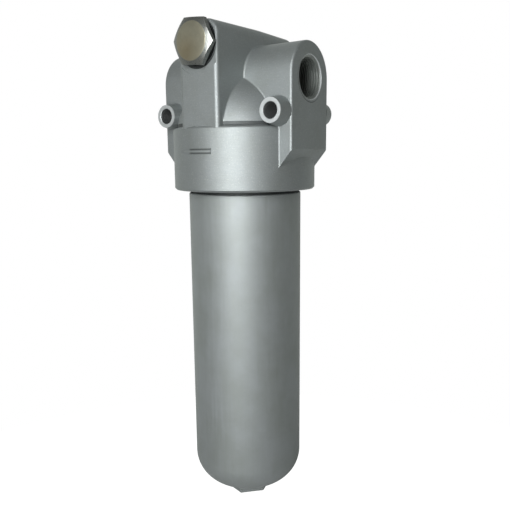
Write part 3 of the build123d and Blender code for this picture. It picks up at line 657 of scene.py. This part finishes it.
def plug_painted_shadow(tree, place, parts):
    """Painted shadow: a dark ring on the face that the plug is screwed against, darkest below the plug."""
    sizes = bpy.context.scene.filter_mark_sizes
    centre = (bowl_axis.x, bowl_axis.y, plug_axis.z - sizes.stain_drop)
    zone = zone_of(
        tree, place, centre, FRONT, sizes.stain_radius, spot_face - 0.0002, spot_face + 0.0002
    )
    # Painted shadow, strongest below the plug.
    below = stretched(tree, parts["Z"], plug_axis.z - 0.012, plug_axis.z + 0.002, 0.85, 0.3)
    return product(tree, zone["Mask"], below)


def cast_finish(colours):
    """Satin casting with fine grain, faint filing and soft clouds.

    Countersinks and boss tips are turned and bright. Bores take near-black painted shade, and so do the
    neck's corner, the edges of the arrow, the corners of the port recesses and a shadow ring under the plug.
    """
    tree = new_finish("cast_head").node_tree
    place = place_on_object(tree)
    parts = parts_of(tree, place)
    grain = grain_of(tree, place, 0.0007)
    filed = streaked(tree, place, (0.12, 0.12, 1.0), 1600.0)
    machined, deep, marks = head_zones(tree, place)
    corner, raised = port_recess(tree, place, parts)

    shade = maths(tree, "MULTIPLY_ADD", filed, 0.4, product(tree, grain["Patches"], 0.25))
    shade = maths(tree, "MULTIPLY_ADD", grain["Clouds"], 0.35, shade)
    skin = mixed(tree, shade, colours.cast_shade, colours.cast)
    skin = mixed(tree, product(tree, grain["Specks"], 0.12), skin, colours.speck)
    # Painted shade: near-black in the neck's corner, along the arrow's edges, in the port recesses' corners and as
    # a shadow ring under the plug.
    dark = largest(
        tree, corner, neck_painted_shade(tree, place), arrow_painted_shade(tree, parts), plug_painted_shadow(tree, place, parts)
    )
    skin = mixed(tree, dark, skin, colours.bore)
    # Deep bores take near-black as painted shade.
    base = mixed(tree, deep, mixed(tree, machined, skin, colours.cut), colours.bore)

    rough_skin = stretched(tree, grain["Height"], 0.3, 0.7, 0.54, 0.66)
    roughness = mixed_value(tree, machined, rough_skin, 0.6)
    height = product(tree, grain["Height"], maths(tree, "SUBTRACT", 1.0, machined))
    height = maths(tree, "ADD", height, product(tree, marks, 0.25))
    height = maths(tree, "MULTIPLY_ADD", filed, 0.45, height)
    height = maths(tree, "ADD", height, product(tree, raised, 5.0))
    close_finish(tree, base, roughness, height, 0.35, 0.0002, mixed_value(tree, deep, 0.85, 0.2))


def bowl_finish(colours):
    """Drawn steel, satin grey with streaks along the bowl, soft clouds and painted shade on the neck under the
    head.
    """
    sizes = bpy.context.scene.filter_bowl_sizes
    tree = new_finish("bowl_steel").node_tree
    place = place_on_object(tree)
    grain = grain_of(tree, place, 0.0006)
    streaks = streaked(tree, place, (1.0, 1.0, 0.03), 900.0)
    shade = maths(tree, "MULTIPLY_ADD", streaks, 0.45, product(tree, grain["Clouds"], 0.55))
    steel = mixed(tree, shade, colours.bowl_shade, colours.bowl)
    # Painted shadow of the skirt on the bowl's neck.
    neck = zone_of(
        tree, place, bowl_axis, UP, sizes.neck_radius + 0.0006,
        sizes.shoulder_height - ZONE_SKIN, sizes.thread_start + 0.0002,
    )
    base = mixed(tree, product(tree, neck["Mask"], 0.85), steel, colours.bore)
    roughness = maths(tree, "MULTIPLY_ADD", streaks, 0.08, 0.60)
    height = maths(tree, "MULTIPLY_ADD", streaks, 0.3, product(tree, grain["Height"], 0.6))
    close_finish(tree, base, roughness, height, 0.25, 0.0001, 0.8)


def zinc_finish(colours):
    """Zinc plating: an olive turned face with a brownish patch, streaked grey flats and bright corners.

    What lies between the head and the plug's own head is darkened as painted shade.
    """
    tree = new_finish("plug_zinc").node_tree
    place = place_on_object(tree)
    grain = grain_of(tree, place, 0.0005)
    face = zone_of(tree, place, plug_centre, FRONT, 0.02, plug_face - 0.0001, plug_face + 0.001)
    rings = marks_of(tree, place, face["Distance"], 0.00045)
    patch_centre = (plug_axis.x - 0.004, bowl_axis.y - plug_face, plug_axis.z - 0.006)
    from_patch = vector_maths(tree, "LENGTH", vector_maths(tree, "SUBTRACT", place, patch_centre))
    patch = stretched(tree, from_patch, 0.002, 0.012, 0.7, 0.0)
    plate = mixed(tree, grain["Patches"], colours.zinc, [c * 0.88 for c in colours.zinc])
    plate = mixed(tree, patch, plate, colours.zinc_stain)
    streaks = streaked(tree, place, (1.0, 0.04, 1.0), 1100.0)
    side = mixed(tree, streaks, [c * 0.6 for c in colours.zinc_side], colours.zinc_side)
    to_front = vector_maths(tree, "DOT_PRODUCT", surface_direction(tree), FRONT)
    turned = maths(tree, "GREATER_THAN", to_front, 0.5)
    side = mixed(tree, turned, side, colours.zinc_chamfer)
    # Painted shade between the head and the plug's own head.
    under = zone_of(tree, place, plug_centre, FRONT, 0.0145, spot_face - 0.0001, plug_seat + 0.0001)
    base = mixed(tree, under["Mask"], mixed(tree, face["Mask"], side, plate), colours.bore)
    height = mixed_value(tree, face["Mask"], streaks, rings)
    smooth = mixed_value(tree, face["Mask"], mixed_value(tree, turned, 0.3, 0.2), 0.26)
    roughness = maths(tree, "MULTIPLY_ADD", grain["Height"], 0.2, smooth)
    close_finish(tree, base, roughness, height, 0.3, 0.0001, 0.9)


def turned_finish(name, tint, spacing, roughness, metallic=0.95):
    """Turned metal with fine marks round the bowl's axis."""
    tree = new_finish(name).node_tree
    place = place_on_object(tree)
    grain = grain_of(tree, place, 0.0008)
    zone = zone_of(tree, place, bowl_axis, UP, 1.0, -1.0, 1.0)
    distance = maths(tree, "ADD", zone["Distance"], parts_of(tree, place)["Z"])
    marks = marks_of(tree, place, distance, spacing)
    base = mixed(tree, grain["Patches"], [c * 0.9 for c in tint], tint)
    rough = maths(tree, "MULTIPLY_ADD", grain["Height"], 0.15, roughness)
    close_finish(tree, base, rough, marks, 0.2, 0.00008, metallic)


def plain_finish(name, tint, size, roughness, bump, metallic):
    """Even surface with grain of one size: rubber, plastic, plate, wire or pressed fibre."""
    tree = new_finish(name).node_tree
    grain = grain_of(tree, place_on_object(tree), size)
    base = mixed(tree, grain["Patches"], [c * 0.88 for c in tint], tint)
    rough = maths(tree, "MULTIPLY_ADD", grain["Height"], 0.15, roughness)
    close_finish(tree, base, rough, grain["Height"], bump, 0.0001, metallic)


def make_finishes(colours):
    """Make the finishes of the record's material slots, and two for the threads in the head."""
    cast_finish(colours)
    bowl_finish(colours)
    zinc_finish(colours)
    turned_finish("inner_steel", colours.steel, 0.0003, 0.3)
    turned_finish("cut_metal", colours.thread, 0.0002, 0.45)
    # Near-black painted shade for the mounting holes' threads.
    turned_finish("dark_metal", colours.bore, 0.0002, 0.6, 0.0)
    plain_finish("spring_steel", colours.spring, 0.0004, 0.35, 0.15, 0.95)
    plain_finish("tin_plate", colours.tin, 0.001, 0.28, 0.1, 0.95)
    plain_finish("filter_media", colours.media, 0.0005, 0.8, 0.5, 0.0)
    plain_finish("seal_rubber", colours.rubber, 0.0005, 0.45, 0.1, 0.0)
    plain_finish("backup_plastic", colours.plastic, 0.0008, 0.4, 0.1, 0.0)


def finishes():
    """All the finishes by name, made on the first call."""
    if "cast_head" + FINISH not in bpy.data.materials:
        make_finishes(bpy.context.scene.filter_colours)
    return {m.name.removesuffix(FINISH): m for m in bpy.data.materials if m.name.endswith(FINISH)}


class FILTER_OT_bowl(bpy.types.Operator):
    """Build the bowl with its thread, seal groove, rounded bottom and hexagon foot"""

    bl_idname = "filter.bowl"
    bl_label = "Bowl"

    def execute(self, context):
        sizes = context.scene.filter_bowl_sizes
        turns = full_turn(240)
        neck = bowl_radius - sizes.knuckle
        crown_centre = sizes.straight_end + np.sqrt((sizes.crown - sizes.knuckle) ** 2 - neck**2)
        join = np.degrees(np.arctan2(sizes.straight_end - crown_centre, neck))
        inner_radius = bowl_radius - sizes.wall
        knuckle_centre = (neck, sizes.straight_end)
        shoulder = sizes.shoulder_round
        edge_height = sizes.shoulder_height - shoulder
        outside = np.concatenate(
            [
                arc((0, crown_centre), sizes.crown, -90, join, 14),
                arc(knuckle_centre, sizes.knuckle, join, 0, 24)[1:],
                upright(bowl_radius, sizes.straight_end, edge_height, 6),
                arc((bowl_radius - shoulder, edge_height), shoulder, 0, 90, 6)[1:],
                [
                    (sizes.neck_radius, sizes.shoulder_height),
                    (sizes.neck_radius, sizes.thread_start),
                ],
            ]
        )
        inside = np.concatenate(
            [
                [
                    (sizes.land_radius, sizes.land_start),
                    (sizes.land_radius, sizes.groove_start),
                    (sizes.groove_radius, sizes.groove_start),
                    (sizes.groove_radius, sizes.groove_end),
                    (sizes.land_radius, sizes.groove_end),
                    (sizes.land_radius, bowl_rim - sizes.rim_chamfer),
                    (sizes.land_radius - sizes.rim_chamfer, bowl_rim),
                    (inner_radius + sizes.rim_lead, bowl_rim),
                    (inner_radius, bowl_rim - sizes.rim_lead),
                ],
                arc(knuckle_centre, sizes.knuckle - sizes.wall, 0, join, 16),
                arc((0, crown_centre), sizes.crown - sizes.wall, join, -90, 12)[1:],
            ]
        )
        profile = joined(
            rows_of(outside, len(turns)),
            outer_thread(sizes, sizes.thread_start, sizes.thread_end, turns),
            rows_of(inside, len(turns)),
        )
        points = carried_round(bowl_axis, UP, RIGHT, turns, *profile)
        bowl = grid_object("bowl", points, 35, "bowl", "bowl_steel")
        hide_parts("filter_bowl")

        corners = hexagon_turns(sizes.foot_turn, 8)
        outline = hexagon_radius(corners, sizes.foot_flats, sizes.foot_turn)
        outline = np.minimum(outline, outline.max() * sizes.foot_corner)
        root = bowl_foot + sizes.foot_height + sizes.wall / 2
        profile = rows_of(
            [
                (0, bowl_foot),
                (outline - sizes.foot_chamfer, bowl_foot),
                (outline, bowl_foot + sizes.foot_chamfer),
                (outline, root),
                (0, root),
            ],
            len(corners),
        )
        points = carried_round(bowl_axis, UP, RIGHT, corners, *profile)
        grid_object("bowl_foot", points, 20, "bowl", "bowl_steel")
        return {"FINISHED"}


class FILTER_OT_plug(bpy.types.Operator):
    """Build the hexagon plug with its turned face and threaded shank"""

    bl_idname = "filter.plug"
    bl_label = "Plug"

    def execute(self, context):
        sizes = context.scene.filter_plug_sizes
        turns = hexagon_turns(sizes.turn, 20)
        outline = hexagon_radius(turns, sizes.flats, sizes.turn)
        face_radius = sizes.flats / 2 * sizes.face_share
        flat_end = plug_face - (outline - face_radius) * np.tan(sizes.chamfer)
        thread_end = plug_seat - sizes.relief
        neck = sizes.thread_radius - sizes.thread_depth
        tip = [(0, plug_tip), (neck - sizes.rim, plug_tip)]
        head = [
            (neck, thread_end + sizes.run_out),
            (neck, plug_seat),
            (outline - sizes.rim, plug_seat),
            (outline, plug_seat + sizes.rim),
            (outline, flat_end),
            (face_radius + sizes.face_edge, plug_face - sizes.face_edge / 2),
            (face_radius - sizes.face_edge, plug_face),
            (0.66 * face_radius, plug_face),
            (0.33 * face_radius, plug_face),
            (0, plug_face),
        ]
        profile = joined(
            rows_of(tip, len(turns)),
            outer_thread(sizes, plug_tip + sizes.tip_chamfer, thread_end, turns),
            rows_of(head, len(turns)),
        )
        points = carried_round(plug_centre, FRONT, RIGHT, turns, *profile)
        plug = grid_object("plug", points, 20, "plug", "plug_zinc")
        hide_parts("indicator_plug")
        return {"FINISHED"}


def thread_sleeve(name, centre, out, first, wall, start, end, pitch, depth, flank, finish="cut_metal"):
    """Thread cut in a drilled hole: ridges that stand inwards from the wall, closed behind the wall.

    Radius = wall - depth x thread share, with the ridges growing over the first and last half pitch.
    """
    turns = full_turn(160)
    heights = thread_rows(start, end, turns, pitch, flank)
    ridge = thread_share(heights, turns, pitch, flank)
    ridge = ridge * np.clip((heights - start) / (pitch / 2), 0, 1)
    ridge = ridge * np.clip((end - heights) / (pitch / 2), 0, 1)
    behind = wall + bpy.context.scene.filter_thread_sizes.back
    back = rows_of([(behind, end), (behind, start), (wall, start)], len(turns))
    profile = joined((wall - depth * ridge, heights), back)
    points = carried_round(centre, out, first, turns, *profile)
    grid_object(name, points, 35, "head", "cast_head", finish)


class FILTER_OT_threads(bpy.types.Operator):
    """Build the threads of the ports, the mounting holes, the plug port and the skirt"""

    bl_idname = "filter.threads"
    bl_label = "Threads in the head"

    def execute(self, context):
        sizes = context.scene.filter_thread_sizes
        bowl = context.scene.filter_bowl_sizes
        plug = context.scene.filter_plug_sizes
        mouth = port_reach - sizes.port_mouth
        for name, out, first in (("inlet_thread", RIGHT, BACK), ("outlet_thread", LEFT, FRONT)):
            thread_sleeve(
                name, port_axis, out, first, port_thread_radius - sizes.cover,
                mouth - sizes.port_length, mouth, sizes.port_pitch, sizes.port_depth, PORT_THREAD,
            )
        mouth = -sizes.boss_mouth
        # The mounting holes' threads are near-black as painted shade.
        for name, side in (("left_boss_thread", -1), ("right_boss_thread", 1)):
            thread_sleeve(
                name, (side * boss_spacing / 2, 0, 0), FRONT, RIGHT, boss_thread_radius - sizes.cover,
                mouth - sizes.boss_length, mouth, sizes.boss_pitch, sizes.boss_depth, BOSS_THREAD,
                "dark_metal",
            )
        thread_sleeve(
            "plug_port_thread", plug_centre, FRONT, RIGHT,
            plug.thread_radius + sizes.clearance - sizes.cover, sizes.plug_depth,
            spot_face - sizes.plug_mouth, plug.thread_pitch, plug.thread_depth - sizes.clearance,
            PLAIN_BORE_THREAD,
        )
        thread_sleeve(
            "skirt_thread", bowl_axis, UP, RIGHT,
            bowl.thread_radius + sizes.clearance - sizes.cover, sizes.skirt_start,
            sizes.skirt_end, bowl.thread_pitch, bowl.thread_depth - sizes.clearance,
            PLAIN_BORE_THREAD,
        )
        return {"FINISHED"}


class FILTER_OT_finishes(bpy.types.Operator):
    """Give every piece of the frame the finish of its material slot"""

    bl_idname = "filter.finishes"
    bl_label = "Finishes"

    def execute(self, context):
        made = finishes()
        for part in frame["record"]["subparts"]:
            node = nodes[part["node"]]
            if not node.material_slots:
                node.data.materials.append(None)
            for slot in node.material_slots:
                slot.material = made[part["material_slot"]]
        return {"FINISHED"}


def floor_finish():
    """Pale floor that the camera and polished metal see as white, and that still takes a shadow."""
    finish = new_finish("floor")
    tree = finish.node_tree
    paths = add_node(tree, "ShaderNodeLightPath").outputs
    mirrored = product(tree, largest(tree, paths["Is Glossy Ray"], paths["Is Transmission Ray"]), 0.05)
    seen = maths(tree, "MULTIPLY_ADD", paths["Is Camera Ray"], 0.9, mirrored)
    matt = add_node(tree, "ShaderNodeBsdfDiffuse", {"Color": (0.7, 0.7, 0.7, 1)})
    white = add_node(tree, "ShaderNodeEmission", {"Color": (1, 1, 1, 1), "Strength": seen})
    surface = add_node(tree, "ShaderNodeAddShader", {0: matt.outputs[0], 1: white.outputs[0]})
    output = add_node(tree, "ShaderNodeOutputMaterial")
    tree.links.new(surface.outputs[0], output.inputs["Surface"])
    return finish


def studio_world(sky):
    """World that is white to the camera, and to polished metal is white behind and dim in front."""
    world = bpy.data.worlds.new("Studio")
    world.use_nodes = True
    tree = world.node_tree
    tree.nodes.clear()
    paths = add_node(tree, "ShaderNodeLightPath").outputs
    direction = add_node(tree, "ShaderNodeTexCoord").outputs["Generated"]
    behind = vector_maths(tree, "DOT_PRODUCT", direction, (-0.587, 0.790, -0.176))
    glow = stretched(tree, behind, 0.1, 0.8, 0.13, 0.9)
    mirrored = largest(tree, paths["Is Glossy Ray"], paths["Is Transmission Ray"])
    white, room, even = [
        add_node(tree, "ShaderNodeBackground", {"Color": tint, "Strength": strength}).outputs[0]
        for tint, strength in (((1, 1, 1, 1), 1.0), ((0.97, 1, 0.95, 1), glow), ((0.97, 1, 0.95, 1), sky))
    ]
    bounced = add_node(tree, "ShaderNodeMixShader", {0: mirrored, 1: even, 2: room}).outputs[0]
    surface = add_node(tree, "ShaderNodeMixShader", {0: paths["Is Camera Ray"], 1: bounced, 2: white})
    output = add_node(tree, "ShaderNodeOutputWorld")
    tree.links.new(surface.outputs[0], output.inputs["Surface"])
    return world


def soft_light(name, place, aim, size, watts):
    """Flat area light at a place, turned to what it lights."""
    lamp = bpy.data.lights.new(name, "AREA")
    lamp.energy = watts
    lamp.shape = "RECTANGLE"
    lamp.size, lamp.size_y = size
    light = bpy.data.objects.new(name, lamp)
    light.location = place
    light.rotation_euler = (aim - Vector(place)).to_track_quat("-Z", "Y").to_euler()
    bpy.context.scene.collection.objects.link(light)


class FILTER_OT_stage(bpy.types.Operator):
    """Set up the floor, the studio light and the camera"""

    bl_idname = "filter.stage"
    bl_label = "Studio"

    def execute(self, context):
        scene = context.scene
        studio = scene.filter_studio
        turns = full_turn(96)[:-1]
        floor_height = bowl_foot - studio.floor_drop
        profile = rows_of([(studio.floor_radius, floor_height)], len(turns))
        rim = carried_round(bowl_axis, UP, RIGHT, turns, *profile)[0]
        mesh = bpy.data.meshes.new("floor")
        mesh.from_pydata(rim.tolist(), [], [list(range(len(rim)))])
        mesh.materials.append(floor_finish())
        floor = bpy.data.objects.new("floor", mesh)
        scene.collection.objects.link(floor)

        scene.world = studio_world(studio.sky)
        scene.view_settings.view_transform = "Standard"
        aim = Vector((bowl_axis.x, bowl_axis.y, head_foot - studio.aim_drop))
        key_size, fill_size = (studio.key_width, studio.key_height), (studio.fill_side, studio.fill_side)
        soft_light("key_light", studio.key_place, aim, key_size, studio.key_power)
        soft_light("fill_light", studio.fill_place, aim, fill_size, studio.fill_power)

        lens = bpy.data.cameras.new("camera")
        lens.lens = studio.camera_lens
        lens.sensor_width = 36.0
        lens.clip_start = 0.01
        camera = bpy.data.objects.new("camera", lens)
        camera.location = studio.camera_place
        camera.rotation_euler = studio.camera_turn
        scene.collection.objects.link(camera)
        scene.camera = camera
        return {"FINISHED"}


class FILTER_PT_panel(bpy.types.Panel):
    """Panel that lists the filter's pieces"""

    bl_label = "Pressure filter"
    bl_idname = "FILTER_PT_panel"
    bl_space_type = "VIEW_3D"
    bl_region_type = "UI"
    bl_category = "Filter"

    def draw(self, context):
        for operator in OPERATORS:
            self.layout.operator(operator.bl_idname)
        for group in GROUPS:
            settings = getattr(context.scene, group)
            box = self.layout.box()
            for name in settings.__annotations__:
                box.prop(settings, name)


OPERATORS = (FILTER_OT_bowl, FILTER_OT_plug, FILTER_OT_threads, FILTER_OT_finishes, FILTER_OT_stage)
GROUPS = {
    "filter_bowl_sizes": FilterBowlSizes,
    "filter_plug_sizes": FilterPlugSizes,
    "filter_thread_sizes": FilterThreadSizes,
    "filter_mark_sizes": FilterMarkSizes,
    "filter_colours": FilterColours,
    "filter_studio": FilterStudio,
}


def register():
    for name, group in GROUPS.items():
        bpy.utils.register_class(group)
        setattr(bpy.types.Scene, name, PointerProperty(type=group))
    for item in (*OPERATORS, FILTER_PT_panel):
        bpy.utils.register_class(item)


def unregister():
    for item in (FILTER_PT_panel, *reversed(OPERATORS)):
        bpy.utils.unregister_class(item)
    for name, group in reversed(GROUPS.items()):
        delattr(bpy.types.Scene, name)
        bpy.utils.unregister_class(group)


def main():
    """Build the filter."""
    register()
    bpy.ops.filter.bowl()
    bpy.ops.filter.plug()
    bpy.ops.filter.threads()
    bpy.ops.filter.finishes()
    bpy.ops.filter.stage()


if __name__ == "__main__":
    main()
